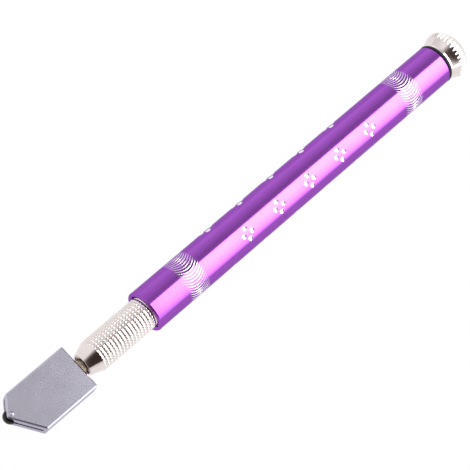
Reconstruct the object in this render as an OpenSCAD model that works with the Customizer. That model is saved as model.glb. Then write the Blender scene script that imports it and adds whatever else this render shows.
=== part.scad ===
// Oil-fed pencil glass cutter.
// The tool lies along X with its cap at +X and its cutting wheel at -X.
// Stations along the tool are measured from the handle's front face.

/* [Handle tube] */
// Length of the tube
handle_len = 115; // [90:1:140]
// Outside diameter of the tube
handle_d = 12; // [11.6:0.1:14]
// Diameter of the oil reservoir bored down the tube
reservoir_d = 9.2; // [8.6:0.1:9.6]
// Length of thick wall left in front of the reservoir
front_wall = 10; // [9.5:0.5:14]
// Radius of the tube's rounded outer edges
handle_edge_r = 0.5; // [0.2:0.1:0.8]
// Diameter of the tapped hole for the ferrule's spigot
front_tap_d = 8; // [7.6:0.1:8.6]
// Length of the tapped hole for the cap's stud
rear_tap_len = 10; // [8:0.5:16]
// Diameter of the tapped hole for the cap's stud
rear_tap_d = 9.9; // [9.7:0.1:10.2]
// Depth of the counterbore that takes the ferrule's barrel
counterbore_depth = 2.2; // [1.8:0.1:3]
// Radial clearance of the barrel in the counterbore
counterbore_clear = 0.15; // [0.1:0.05:0.3]
// Depth of the chamfer at the mouth of the counterbore
mouth_chamfer = 0.4; // [0.2:0.1:0.6]

/* [Screw threads] */
// Radial clearance of a screwed joint, whose threads are plain here
thread_clear = 0.05; // [0.02:0.01:0.08]

/* [Ferrule] */
// Diameter over the knurled barrel
ferrule_d = 9.2; // [8.8:0.1:9.6]
// Length of the knurled barrel
barrel_len = 19.1; // [15:0.1:24]
// How far the barrel sits inside the handle's counterbore
barrel_seat = 1.2; // [0.8:0.1:1.5]
// Length of the smooth cone in front of the barrel
cone_len = 3.9; // [3:0.1:5]
// Diameter of the nose rim
nose_d = 6.3; // [5.9:0.1:6.8]
// Diameter of the recess in the nose
nose_recess_d = 5.4; // [5:0.1:5.6]
// Depth of the recess in the nose
nose_recess_depth = 1.2; // [0.6:0.1:2]
// Length of the threaded spigot behind the barrel
spigot_len = 7.3; // [6:0.1:8]
// Diameter of the chamber inside the ferrule
chamber_d = 6.6; // [6.2:0.1:6.8]
// Distance from one turned ring of the knurl to the next
ring_pitch = 1.09; // [0.9:0.01:1.6]
// Depth of the grooves between the rings
ring_depth = 0.22; // [0.1:0.02:0.3]
// Width of those grooves at their mouth
ring_groove_w = 0.7; // [0.4:0.05:0.8]

/* [Head block] */
// Width of the block
head_w = 13.4; // [12:0.1:16]
// Thickness of the block
head_t = 5.2; // [4.8:0.1:6]
// Gap between the nose rim and the block
head_gap = 1.3; // [1.1:0.1:2]
// Length from the rear face to the tip of the jaws
head_len = 22.55; // [20:0.05:27]
// Length of the side on the tip's side of the axis
near_side_len = 19; // [16:0.1:20]
// Length of the side away from the tip
far_side_len = 16.9; // [14:0.1:18]
// Offset of the tip from the tool's axis
tip_offset = 1.9; // [0:0.1:2.5]
// Radius of the rounded tip
tip_r = 0.8; // [0.5:0.1:1.2]
// Chamfer along the block's edges
head_chamfer = 0.35; // [0.1:0.05:0.5]
// Width of the oil slot sawn into the front
slot_w = 0.9; // [0.5:0.1:1.1]
// Diameter of the saw that cuts the oil slot
slot_saw_d = 40; // [30:1:60]
// Distance from each front corner to the slot's end
slot_margin = 1; // [0.6:0.1:1.6]
// Clearance around the wheel in its pocket
wheel_pocket_clear = 0.3; // [0.2:0.05:0.5]
// Clearance on each flat side of the wheel
wheel_side_clear = 0.08; // [0.05:0.01:0.15]
// How far the oil gallery breaks into the wheel's pocket
gallery_break = 0.25; // [0.1:0.05:0.4]

/* [Cutting wheel] */
// Diameter over the cutting edge
wheel_d = 4; // [3.6:0.1:5]
// Thickness of the wheel
wheel_t = 1.1; // [0.9:0.1:1.4]
// Included angle of the cutting edge
edge_angle = 140; // [120:1:155]
// How far the wheel stands out of the jaws
wheel_overhang = 0.72; // [0.5:0.01:1]
// Diameter of the axle
axle_d = 1.2; // [0.8:0.1:1.4]
// Radial clearance between the wheel and its axle
axle_clear = 0.03; // [0.01:0.01:0.08]
// How far each end of the axle sits below the block's face
axle_inset = 0.05; // [0:0.01:0.1]

/* [Stem and press mechanism] */
// Diameter of the stem where it runs in the nose
stem_d = 4.5; // [4.2:0.1:4.8]
// Radial clearance of the stem in the nose
stem_clear = 0.05; // [0.02:0.01:0.09]
// Diameter of the stem's neck behind the head block
neck_d = 3.6; // [3.3:0.1:4]
// Length of that neck
neck_len = 1.9; // [1.4:0.1:2.4]
// Diameter of the spigot pressed into the head block
stem_spigot_d = 3.2; // [2.8:0.1:3.4]
// Length of the spigot pressed into the head block
stem_spigot_len = 8; // [6:0.5:10]
// Diameter of the oil bore
oil_bore_d = 1.6; // [1.4:0.1:1.8]
// Diameter of the two cross holes that feed the bore
cross_hole_d = 0.9; // [0.6:0.1:1.1]
// Distance from the cross holes to the end of the tail
cross_hole_back = 3; // [2:0.1:4]
// Distance from the cross holes to the wick and to the push pin
cross_hole_space = 1; // [0.8:0.1:1.4]
// Radial clearance of the wick in the bore
wick_clear = 0.1; // [0:0.05:0.2]
// Gap between the wick and the wheel
wick_gap = 0.3; // [0.1:0.05:0.5]
// Thickness of the flange that stops the stem in the nose
flange_t = 1.5; // [1:0.1:2]
// Distance from the nose rim to the flange's stop
stop_depth = 7.3; // [6:0.1:8]
// Diameter of the stem's tail inside the spring
tail_d = 3; // [2.7:0.1:3.2]
// Travel of the head when it is pressed
press_travel = 0.8; // [0.4:0.1:1]
// Gap between the tail and the valve seat when the head is pressed
tail_gap = 1.2; // [0.8:0.1:2]
// Gap left between faces that only touch
face_gap = 0.03; // [0.02:0.01:0.05]
// Diameter of the seal ring's section on the stem
stem_seal_section = 0.58; // [0.5:0.02:0.66]
// Distance from the nose rim to the stem's seal ring
stem_seal_depth = 3.6; // [3:0.1:4.5]
// Play of the seal ring along its groove
stem_groove_play = 0.3; // [0.1:0.05:0.5]
// Thickness of the thrust washer
washer_t = 0.5; // [0.4:0.1:0.8]
// Wire diameter of the pressure spring
spring_wire = 0.5; // [0.4:0.05:0.6]
// Length of the pressure spring as fitted
spring_len = 9.85; // [8:0.05:12]
// Number of turns of the pressure spring
spring_turns = 7; // [5:1:8]
// Radial clearance of the pressure spring in its chamber
spring_clear = 0.35; // [0.2:0.05:0.5]

/* [Oil valve] */
// Diameter of the hole through the valve seat
orifice_d = 2.3; // [2.1:0.1:2.5]
// Thickness of the valve seat
seat_t = 3.8; // [3:0.1:4.2]
// Depth of the seat's cone
seat_cone = 0.75; // [0.6:0.05:1]
// Diameter of the valve ball
ball_d = 3.5; // [3.4:0.1:3.8]
// Diameter of the hole in the valve spring's retainer
retainer_hole_d = 1.8; // [1.2:0.1:2.2]
// Thickness of the retainer
retainer_t = 1.8; // [1.4:0.1:2.2]
// Width and depth of the driver slot across the retainer
driver_slot = 0.8; // [0.6:0.1:1]
// Wire diameter of the valve spring
valve_wire = 0.3; // [0.25:0.05:0.35]
// Mean diameter of the valve spring
valve_spring_d = 2.3; // [2.2:0.1:2.5]
// Number of turns of the valve spring
valve_turns = 4; // [3:1:5]

/* [Seal rings] */
// Radial clearance around the front seal ring
front_seal_clear = 0.03; // [0.02:0.01:0.06]
// Width of the ring seen between the handle and the cap
cap_seal_w = 0.8; // [0.6:0.1:1.4]
// Outside diameter of that ring
cap_seal_d = 12.1; // [11.6:0.1:12.4]

/* [End cap] */
// Length of the cap outside the handle, without its ring
cap_len = 9; // [7:0.1:11]
// Largest diameter of the cap, over its teeth
cap_d = 14.1; // [13.6:0.1:15]
// Diameter of the cap's collar beside the ring
collar_d = 11.8; // [11.4:0.1:12.6]
// Length of the straight collar
collar_len = 0.6; // [0.4:0.1:1.6]
// Length of the flare from the collar to the teeth
flare_len = 2.9; // [1.5:0.1:3.2]
// Length of the toothed band
tooth_len = 2; // [1.5:0.1:2.6]
// Length of the teeth's straight crest
tooth_crest_len = 1.4; // [1:0.1:1.8]
// How far the grooves between the teeth run down the flare
tooth_runout = 1.2; // [0.6:0.1:1.5]
// Diameter where the dome meets the toothed band
dome_d = 12.9; // [12:0.1:13.2]
// Number of teeth
tooth_count = 34; // [24:2:40]
// Radius of the groove between two teeth
tooth_groove_r = 0.36; // [0.25:0.01:0.45]
// Length of the cap's threaded stud
stud_len = 7; // [5:0.5:8]

/* [Hidden] */
$fn = 96;
eps = 0.01;
past = 1; // how far a cut runs on past the face it opens

// Stations along the tool
barrel_x = barrel_seat - barrel_len;
nose_x = barrel_x - cone_len;
spigot_end_x = barrel_seat + spigot_len;
stop_x = nose_x + stop_depth;
flange_x = stop_x + face_gap;
washer_x = flange_x + flange_t + face_gap;
spring_x = washer_x + washer_t + face_gap;
seat_x = spring_x + spring_len + face_gap;
cone_x = seat_x + seat_t - seat_cone;
ball_x = cone_x + (ball_d / 2) * sqrt(2) - orifice_d / 2 + face_gap;
pin_tip_x = ball_x - ball_d / 2 - face_gap;
retainer_x = spigot_end_x - retainer_t;
head_x = nose_x - head_gap;
jaw_tip_x = head_x - head_len;
wheel_x = jaw_tip_x - wheel_overhang + wheel_d / 2;
front_end_x = wheel_x - wheel_d / 2;
ring_count = floor(barrel_len / ring_pitch);
collar_x = handle_len + cap_seal_w;
rear_end_x = collar_x + cap_len;

// Radii that follow from the fits; the tube keeps its rounded lip round a wider ferrule
guide_r = stem_d / 2 + stem_clear;
spigot_r = front_tap_d / 2 - thread_clear;
stud_r = rear_tap_d / 2 - thread_clear;
counterbore_r = ferrule_d / 2 + counterbore_clear;
tube_r = max(handle_d / 2, counterbore_r + mouth_chamfer + handle_edge_r);
chamber_r = chamber_d / 2;
slide_r = chamber_r - 2 * stem_clear;
seal_groove_r = guide_r - face_gap - stem_seal_section;
spring_r = chamber_r - spring_clear - spring_wire;
pin_r = oil_bore_d / 2;

// Oil galleries
wick_r = oil_bore_d / 2 - wick_clear;
tail_end_x = seat_x - press_travel - tail_gap;
cross_hole_x = tail_end_x - cross_hole_back;
pin_x = cross_hole_x + cross_hole_space;
wheel_pocket_r = wheel_d / 2 + wheel_pocket_clear;
gallery_end_x = wheel_x + sqrt(pow(wheel_pocket_r, 2) - pow(tip_offset - pin_r, 2)) - gallery_break;
wick_end_x = wheel_x + sqrt(pow(wheel_d / 2, 2) - pow(tip_offset - pin_r, 2)) + wick_gap;

// The head's outline, from the rear round to the tip
near_corner = [head_x - near_side_len, head_w / 2];
far_corner = [head_x - far_side_len, -head_w / 2];
tip = [jaw_tip_x + tip_r, tip_offset];

// Centre of the saw that leaves the slot's ends slot_margin from both corners
function unit(v) = v / norm(v);
slot_end_a = near_corner + slot_margin * unit(tip - near_corner);
slot_end_b = far_corner + slot_margin * unit(tip - far_corner);
slot_chord = slot_end_a - slot_end_b;
slot_back = unit([slot_chord[1], -slot_chord[0]]);
slot_reach = sqrt(pow(slot_saw_d / 2, 2) - pow(norm(slot_chord) / 2, 2));
slot_saw_centre = (slot_end_a + slot_end_b) / 2 - slot_reach * slot_back;

// Height of the axis as the tool lies on the two teeth beside its lowest groove
rest_height = cap_d / 2 * cos(2 * asin(tooth_groove_r / cap_d));

// Depth of the bevel that makes the wheel's cutting edge
bevel = (wheel_t / 2) / tan(edge_angle / 2);

// Lays the tool on the ground plane with its middle over the origin
module placed() {
    translate([-(front_end_x + rear_end_x) / 2, 0, rest_height]) children();
}

// A turned piece: its profile is drawn as [station, radius]
module turned() {
    rotate([90, 0, 90]) rotate_extrude() rotate([0, 0, 90]) mirror([0, 1]) children();
}

// A straight round bar or hole between two stations
module bar(x1, x2, r) {
    translate([x1, 0, 0]) rotate([0, 90, 0]) cylinder(h = x2 - x1, r = r);
}

// A flat ring between two stations
module ring(x1, x2, r_out, r_in) {
    difference() {
        bar(x1, x2, r_out);
        bar(x1 - eps, x2 + eps, r_in);
    }
}

// A coil spring of round wire between two stations, its end turns lying flat
module coil(x1, x2, r, wire, turns, facets = 20, sides = 8) {
    steps = turns * facets;
    pitch_len = x2 - x1 - wire;
    lie = 1.1 * wire; // the end turns lie just clear of their neighbours
    function along(t) = min(max((t * turns - 1) / (turns - 2), 0), 1);
    function flat_step(t) = lie * (min(t * turns, 1) + max(t * turns - turns + 1, 0));
    function station(t) = x1 + wire / 2 + flat_step(t) + along(t) * (pitch_len - 2 * lie);
    points = [for (i = [0 : steps], k = [0 : sides - 1])
        let (t = i / steps, turn = 360 * turns * t, a = 360 * k / sides, rr = r + wire / 2 * cos(a))
        [station(t) + wire / 2 * sin(a), rr * cos(turn), rr * sin(turn)]];
    walls = [for (i = [0 : steps - 1], k = [0 : sides - 1])
        let (n = (k + 1) % sides)
        [i * sides + k, i * sides + n, (i + 1) * sides + n, (i + 1) * sides + k]];
    first = [for (k = [sides - 1 : -1 : 0]) k];
    last = [for (k = [0 : sides - 1]) steps * sides + k];
    polyhedron(points, concat(walls, [first, last]));
}

// Outline of the head block, grown by a margin
module head_outline(margin = 0) {
    w = head_w / 2 + margin;
    hull() {
        translate(tip) circle(r = tip_r + margin, $fn = 32);
        polygon([[head_x + margin, -w], [head_x + margin, w], near_corner + [0, margin],
            far_corner - [0, margin]]);
    }
}

module head_block() {
    color("#a9a6b4") placed() difference() {
        hull() {
            translate([0, 0, -head_t / 2]) linear_extrude(head_t) head_outline(-head_chamfer);
            translate([0, 0, -head_t / 2 + head_chamfer])
                linear_extrude(head_t - 2 * head_chamfer) head_outline();
        }
        // stem socket and oil gallery
        bar(head_x - stem_spigot_len, head_x + past, stem_spigot_d / 2);
        bar(gallery_end_x, head_x, oil_bore_d / 2);
        // sawn slot, wheel pocket and axle hole
        translate([slot_saw_centre[0], slot_saw_centre[1], -slot_w / 2])
            cylinder(h = slot_w, d = slot_saw_d, $fn = 180);
        translate([wheel_x, tip_offset, -wheel_t / 2 - wheel_side_clear])
            cylinder(h = wheel_t + 2 * wheel_side_clear, r = wheel_pocket_r);
        translate([wheel_x, tip_offset, -head_t]) cylinder(h = 2 * head_t, d = axle_d);
    }
}

module cutting_wheel() {
    color("#2e2c30") placed() translate([wheel_x, tip_offset, 0]) rotate_extrude()
        polygon([[axle_d / 2 + axle_clear, -wheel_t / 2], [wheel_d / 2 - bevel, -wheel_t / 2],
            [wheel_d / 2, 0], [wheel_d / 2 - bevel, wheel_t / 2],
            [axle_d / 2 + axle_clear, wheel_t / 2]]);
}

module wheel_axle() {
    axle_len = head_t - 2 * axle_inset;
    color("#6e6b70") placed() translate([wheel_x, tip_offset, -axle_len / 2])
        cylinder(h = axle_len, d = axle_d);
}

module head_stem() {
    groove_x = nose_x + stem_seal_depth;
    groove_w = stem_seal_section + stem_groove_play;
    color("#c9a86a") placed() difference() {
        turned() polygon([[head_x - stem_spigot_len, 0], [head_x - stem_spigot_len, stem_spigot_d / 2],
            [head_x, stem_spigot_d / 2], [head_x, neck_d / 2],
            [head_x + neck_len, neck_d / 2], [head_x + neck_len, stem_d / 2],
            [groove_x - groove_w / 2, stem_d / 2], [groove_x - groove_w / 2, seal_groove_r],
            [groove_x + groove_w / 2, seal_groove_r], [groove_x + groove_w / 2, stem_d / 2],
            [flange_x, stem_d / 2], [flange_x, slide_r],
            [flange_x + flange_t, slide_r], [flange_x + flange_t, tail_d / 2],
            [tail_end_x, tail_d / 2], [tail_end_x, 0]]);
        bar(head_x - stem_spigot_len - past, tail_end_x + past, oil_bore_d / 2);
        // two cross holes let the oil into the bore
        for (a = [0, 90]) translate([cross_hole_x, 0, 0]) rotate([a, 0, 0])
            translate([0, 0, -tail_d]) cylinder(h = 2 * tail_d, d = cross_hole_d, $fn = 32);
    }
}

module push_pin() {
    color("#8d8d92") placed() bar(pin_x, pin_tip_x, pin_r);
}

module oil_wick() {
    color("#efe6cf") placed() bar(wick_end_x, cross_hole_x - cross_hole_space, wick_r);
}

module stem_seal() {
    ring_r = guide_r - face_gap - stem_seal_section / 2;
    color("#1d1d1f") placed() turned()
        translate([nose_x + stem_seal_depth, ring_r]) circle(d = stem_seal_section, $fn = 32);
}

module thrust_washer() {
    color("#d8c08a") placed() ring(washer_x, washer_x + washer_t, slide_r, tail_d / 2 + stem_clear);
}

module pressure_spring() {
    color("#9a9aa0") placed() coil(spring_x, spring_x + spring_len, spring_r, spring_wire, spring_turns);
}

// The grooves that part the knurl's rings, as [station, radius] steps
function knurl_steps() = [for (i = [0 : ring_count - 1], k = [-2, -1, 1, 2])
    [barrel_x + (i + 0.5) * ring_pitch + k * ring_groove_w / 4,
        ferrule_d / 2 - (abs(k) == 1 ? ring_depth : 0)]];

module ferrule() {
    color("#ddd6cf") placed() difference() {
        turned() polygon(concat([[nose_x, 0], [nose_x, nose_d / 2]],
            [[barrel_x, ferrule_d / 2]], knurl_steps(),
            [[barrel_seat, ferrule_d / 2], [barrel_seat, spigot_r], [spigot_end_x, spigot_r],
            [spigot_end_x, 0]]));
        bar(nose_x - past, stop_x + past, guide_r);
        bar(nose_x - past, nose_x + nose_recess_depth, nose_recess_d / 2);
        bar(stop_x, spigot_end_x + past, chamber_r);
    }
}

module front_seal() {
    seal_len = counterbore_depth - barrel_seat - 2 * face_gap;
    color("#1d1d1f") placed() ring(barrel_seat + face_gap, barrel_seat + face_gap + seal_len,
        ferrule_d / 2 - front_seal_clear, spigot_r + front_seal_clear);
}

module valve_seat() {
    color("#d2b36f") placed() difference() {
        bar(seat_x, seat_x + seat_t, chamber_r);
        bar(seat_x - past, seat_x + seat_t, orifice_d / 2);
        translate([cone_x, 0, 0]) rotate([0, 90, 0])
            cylinder(h = seat_cone + eps, r1 = orifice_d / 2, r2 = orifice_d / 2 + seat_cone + eps);
    }
}

module valve_ball() {
    color("#b8b8bd") placed() translate([ball_x, 0, 0]) sphere(d = ball_d);
}

module valve_spring() {
    touch_x = ball_x + sqrt(pow(ball_d / 2 + valve_wire / 2, 2) - pow(valve_spring_d / 2, 2));
    color("#9a9aa0") placed() coil(touch_x - valve_wire / 2 + face_gap, retainer_x - face_gap,
        valve_spring_d / 2, valve_wire, valve_turns, facets = 16, sides = 6);
}

module valve_retainer() {
    color("#d2b36f") placed() difference() {
        bar(retainer_x, spigot_end_x, chamber_r);
        bar(retainer_x - past, spigot_end_x + past, retainer_hole_d / 2);
        translate([spigot_end_x - driver_slot, -chamber_d, -driver_slot / 2])
            cube([driver_slot + past, 2 * chamber_d, driver_slot]);
    }
}

module handle_tube() {
    color("#8e3fb0") placed() difference() {
        turned() hull() {
            polygon([[0, 0], [handle_len, 0], [handle_len, tube_r - handle_edge_r],
                [0, tube_r - handle_edge_r]]);
            for (x = [handle_edge_r, handle_len - handle_edge_r])
                translate([x, tube_r - handle_edge_r]) circle(r = handle_edge_r, $fn = 32);
        }
        bar(-past, counterbore_depth, counterbore_r);
        bar(0, front_wall + past, front_tap_d / 2);
        bar(front_wall, handle_len, reservoir_d / 2);
        bar(handle_len - rear_tap_len, handle_len + past, rear_tap_d / 2);
        translate([-eps, 0, 0]) rotate([0, 90, 0])
            cylinder(h = mouth_chamfer + eps, r1 = counterbore_r + mouth_chamfer + eps, r2 = counterbore_r);
    }
}

module cap_seal() {
    bulge = cap_seal_w / 2 - face_gap;
    color("#1d1d1f") placed() turned() hull() {
        translate([handle_len + cap_seal_w / 2, cap_seal_d / 2 - bulge]) circle(r = bulge, $fn = 32);
        translate([handle_len + face_gap, rear_tap_d / 2 + face_gap]) square([2 * bulge, eps]);
    }
}

// The dome is an arc from the toothed band to a point on the axis
function dome_points() = let (start = collar_x + collar_len + flare_len + tooth_len,
        h = rear_end_x - start, a = dome_d / 2, radius = (a * a + h * h) / (2 * h),
        sweep = asin(a / radius))
    [for (i = [0 : 16]) let (b = sweep * (1 - i / 16))
        [rear_end_x - radius + radius * cos(b), radius * sin(b)]];

module end_cap() {
    band_x = collar_x + collar_len + flare_len;
    color("#ddd6cf") placed() difference() {
        turned() polygon(concat([[handle_len - stud_len, 0], [handle_len - stud_len, stud_r],
            [collar_x, stud_r], [collar_x, collar_d / 2], [collar_x + collar_len, collar_d / 2],
            [band_x, cap_d / 2], [band_x + tooth_crest_len, cap_d / 2]], dome_points()));
        // grooves between the teeth, one of them at the very bottom, so the tool lies on two teeth
        for (i = [0 : tooth_count - 1]) rotate([i * 360 / tooth_count, 0, 0])
            translate([band_x - tooth_runout, 0, cap_d / 2]) rotate([0, 90, 0])
                cylinder(h = tooth_runout + tooth_len + past, r = tooth_groove_r, $fn = 16);
    }
}

head_block();
cutting_wheel();
wheel_axle();
head_stem();
push_pin();
oil_wick();
stem_seal();
thrust_washer();
pressure_spring();
ferrule();
front_seal();
valve_seat();
valve_ball();
valve_spring();
valve_retainer();
handle_tube();
cap_seal();
end_cap();
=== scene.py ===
"""An oil-fed pencil glass cutter, built up in the order it is put together."""

import math

import bmesh
import bpy
from mathutils import Matrix, Vector


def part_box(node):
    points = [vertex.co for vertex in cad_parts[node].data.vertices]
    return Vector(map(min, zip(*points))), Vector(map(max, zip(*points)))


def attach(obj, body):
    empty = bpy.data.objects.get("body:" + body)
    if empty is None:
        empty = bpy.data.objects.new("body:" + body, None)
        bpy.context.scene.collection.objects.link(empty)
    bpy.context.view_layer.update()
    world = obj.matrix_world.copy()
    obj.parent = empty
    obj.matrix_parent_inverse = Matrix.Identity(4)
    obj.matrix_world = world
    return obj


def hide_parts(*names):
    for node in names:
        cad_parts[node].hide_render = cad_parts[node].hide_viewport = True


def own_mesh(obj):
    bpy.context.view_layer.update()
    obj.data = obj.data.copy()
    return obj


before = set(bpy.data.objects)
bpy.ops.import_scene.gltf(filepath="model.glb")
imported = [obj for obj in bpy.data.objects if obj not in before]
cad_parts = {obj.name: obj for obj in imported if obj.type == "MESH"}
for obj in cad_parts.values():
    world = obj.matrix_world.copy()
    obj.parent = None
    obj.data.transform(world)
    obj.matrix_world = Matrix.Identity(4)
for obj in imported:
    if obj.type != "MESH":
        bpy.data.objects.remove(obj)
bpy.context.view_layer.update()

# ---- Camera -------------------------------------------------------------------------
# A long lens looks down on the tool from beyond its cutting head, turned so that
# the tool lies across the picture from corner to corner.
tube_low, tube_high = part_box("handle_tube")
front_x, axis_z = tube_low.x, (tube_low.z + tube_high.z) / 2

camera_data = bpy.data.cameras.new("camera")
camera_lens, film_width, nearest, farthest = 143.28, 36, 0.05, 20
camera_data.lens, camera_data.sensor_width = camera_lens, film_width
camera_data.clip_start, camera_data.clip_end = nearest, farthest
camera = bpy.data.objects.new("camera", camera_data)
bpy.context.scene.collection.objects.link(camera)
bpy.context.scene.camera = camera

camera_azimuth, camera_elevation, camera_roll = map(math.radians, (-75.2, 64.3, 33.16))
camera_aim, camera_distance = 0.0338, 0.4927
camera_back = Vector((
    math.sin(camera_azimuth) * math.cos(camera_elevation),
    -math.cos(camera_azimuth) * math.cos(camera_elevation),
    math.sin(camera_elevation)))
camera.matrix_world = (
    Matrix.Translation(Vector((front_x + camera_aim, 0, axis_z)) + camera_distance * camera_back)
    @ camera_back.to_track_quat("Z", "Y").to_matrix().to_4x4()
    @ Matrix.Rotation(camera_roll, 4, "Z"))
bpy.context.scene.view_settings.view_transform = "Standard"

# ---- Studio light -------------------------------------------------------------------
# A white studio round the table: one large softbox hangs along the handle, with a crisp
# edge above it, and the room out beyond the cutting head is dim.
studio = bpy.data.worlds.new("studio")
bpy.context.scene.world = studio
studio.use_nodes = True
sky = studio.node_tree


def sky_math(operation, *feeds):
    """One Math node in the studio's light, fed in socket order."""
    made = sky.nodes.new("ShaderNodeMath")
    made.operation = operation
    for socket, feed in zip(made.inputs, feeds):
        if isinstance(feed, bpy.types.NodeSocket):
            sky.links.new(feed, socket)
        else:
            socket.default_value = feed
    return made.outputs[0]


sky_from = sky.nodes.new("ShaderNodeSeparateXYZ")
sky.links.new(sky.nodes.new("ShaderNodeTexCoord").outputs["Generated"], sky_from.inputs[0])
sky_x, sky_y, sky_z = sky_from.outputs
sky_round = sky_math("ADD", sky_math("DIVIDE", sky_math("ARCTAN2", sky_y, sky_z), math.tau), 0.5)


def sky_band(levels):
    """Brightness by the angle round the tool, in degrees from straight up towards +Y."""
    ramp = sky.nodes.new("ShaderNodeValToRGB")
    sky.links.new(sky_round, ramp.inputs[0])
    peak = max(level for angle, level in levels)
    while len(ramp.color_ramp.elements) < len(levels):
        ramp.color_ramp.elements.new(0.5)
    for element, (angle, level) in zip(ramp.color_ramp.elements, levels):
        element.position = angle / 360 + 0.5
        element.color = (level / peak,) * 3 + (1,)
    return sky_math("MULTIPLY", ramp.outputs[0], peak)


def sky_change(before, after, low, high):
    """Goes softly from one band to the next as the light comes from further along +X."""
    share = sky.nodes.new("ShaderNodeMapRange")
    share.interpolation_type = "SMOOTHSTEP"
    sky.links.new(sky_x, share.inputs["Value"])
    share.inputs["From Min"].default_value, share.inputs["From Max"].default_value = low, high
    return sky_math("ADD", sky_math("MULTIPLY", before, sky_math("SUBTRACT", 1, share.outputs[0])),
        sky_math("MULTIPLY", after, share.outputs[0]))


dim_room = sky_band(((-180, 0.9), (-84, 0.85), (-74, 0.8), (-71, 0.05), (-20, 0.04), (0, 0.07), (14, 0.4),
    (26, 1.05), (180, 1.05)))
white_wall = sky_band(((-180, 0.95), (-92, 0.95), (-87, 2.0), (-80, 2.0), (-75, 0.85), (-8, 0.64), (16, 0.64),
    (40, 0.85), (180, 0.85)))
softbox = sky_band(((-180, 1.0), (-92, 1.3), (-78, 3.2), (-62, 5.2), (-45, 6.6), (-28, 7.8), (4, 8.2),
    (6, 0.64), (24, 0.6), (45, 0.88), (75, 1.2), (110, 1.4), (180, 1.1)))
far_room = sky_band(((-180, 0.9), (-78, 0.8), (-68, 0.22), (-10, 0.22), (20, 0.6), (60, 0.95), (180, 0.95)))
studio_light = sky_change(far_room, dim_room, -0.6, -0.45)
studio_light = sky_change(studio_light, white_wall, -0.12, -0.03)
studio_light = sky_change(studio_light, softbox, 0.352, 0.372)
studio_light = sky_change(studio_light, white_wall, 0.62, 0.7)
# what little light the dim room gives is brown
warmth = sky.nodes.new("ShaderNodeValToRGB")
sky.links.new(studio_light, warmth.inputs[0])
warmth.color_ramp.elements[0].color = (1, 0.6, 0.5, 1)
warmth.color_ramp.elements[1].position, warmth.color_ramp.elements[1].color = 0.4, (1, 1, 1, 1)
sky.links.new(warmth.outputs[0], sky.nodes["Background"].inputs["Color"])
sky.links.new(studio_light, sky.nodes["Background"].inputs["Strength"])

# ---- Floor --------------------------------------------------------------------------
# A back-lit white acrylic table: plain, pale, and bright enough that the tool throws
# hardly any shadow on it.
table_mesh = bpy.data.meshes.new("light_table")
table_reach, table_drop = 1.6, 0.0002
table_mesh.from_pydata([(x * table_reach, y * table_reach, -table_drop)
    for x, y in ((-1, -1), (1, -1), (1, 1), (-1, 1))], [], [(0, 1, 2, 3)])
light_table = bpy.data.objects.new("light_table", table_mesh)
bpy.context.scene.collection.objects.link(light_table)
acrylic = bpy.data.materials.new("back_lit_acrylic")
acrylic.use_nodes = True
acrylic_shader = acrylic.node_tree.nodes["Principled BSDF"]
acrylic_shader.inputs["Base Color"].default_value = (0.05, 0.05, 0.05, 1)
acrylic_shader.inputs["Roughness"].default_value = 0.9
acrylic_shader.inputs["Specular IOR Level"].default_value = 0
acrylic_shader.inputs["Emission Color"].default_value = (1, 1, 1, 1)
acrylic_shader.inputs["Emission Strength"].default_value = 0.96
table_mesh.materials.append(acrylic)

# ---- Handle tube --------------------------------------------------------------------
# A drawn aluminium tube, anodised purple. Flowers of four dots are spotted into it with
# a ball cutter, and two bands of fine arcs are cut round it, down to the bright metal.


def turned(name, profile, segments=192):
    """A turned piece: its closed profile of (station, radius) points swept round the
    tool's axis, in millimetres from the middle of the handle's front face."""
    work = bmesh.new()
    rows = []
    for station, radius in profile:
        if radius == 0:
            rows.append([work.verts.new((station, 0, 0))] * segments)
        else:
            rows.append([work.verts.new((station, radius * math.sin(a), radius * math.cos(a)))
                for a in (math.tau * k / segments for k in range(segments))])
    for row, after in zip(rows, rows[1:] + rows[:1]):
        for k in range(segments):
            n = (k + 1) % segments
            corners = list(dict.fromkeys((row[k], row[n], after[n], after[k])))
            if len(corners) > 2:
                work.faces.new(corners).smooth = True
    bmesh.ops.recalc_face_normals(work, faces=work.faces)
    mesh = bpy.data.meshes.new(name)
    work.to_mesh(mesh)
    work.free()
    piece = bpy.data.objects.new(name, mesh)
    bpy.context.scene.collection.objects.link(piece)
    return piece


def eased(profile, radius, steps=3):
    """The profile with its corners rounded, as a file and a polish leave them."""
    rounded = []
    for before, corner, after in zip(profile[-1:] + profile[:-1], profile, profile[1:] + profile[:1]):
        here = Vector(corner)
        back, on = Vector(before) - here, Vector(after) - here
        reach = min(radius, 0.4 * back.length, 0.4 * on.length)
        if corner[1] == 0 or reach < 0.001 or back.angle(on) > math.radians(165):
            rounded.append(tuple(corner))
            continue
        first, last = here + back.normalized() * reach, here + on.normalized() * reach
        for k in range(steps + 1):
            t = k / steps
            rounded.append(tuple((1 - t) ** 2 * first + 2 * t * (1 - t) * here + t * t * last))
    return rounded


def rows_between(start, end, radius, count):
    """Close-set profile points along a straight barrel, for a pattern cut into it."""
    return [(start + (end - start) * k / count, radius) for k in range(count + 1)]


def baked(piece, body, slot, *nodes, sharp=38):
    """Turns the piece and its modifiers into a plain mesh, lays it in the row frame and
    fixes it to its body in place of its CAD nodes."""
    graph = bpy.context.evaluated_depsgraph_get()
    mesh = bpy.data.meshes.new_from_object(piece.evaluated_get(graph), depsgraph=graph)
    piece.modifiers.clear()
    piece.data = mesh
    mesh.set_sharp_from_angle(angle=math.radians(sharp))
    mesh.transform(Matrix.Translation((front_x, 0, axis_z)) @ Matrix.Scale(0.001, 4))
    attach(piece, body)
    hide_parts(*nodes)


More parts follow.
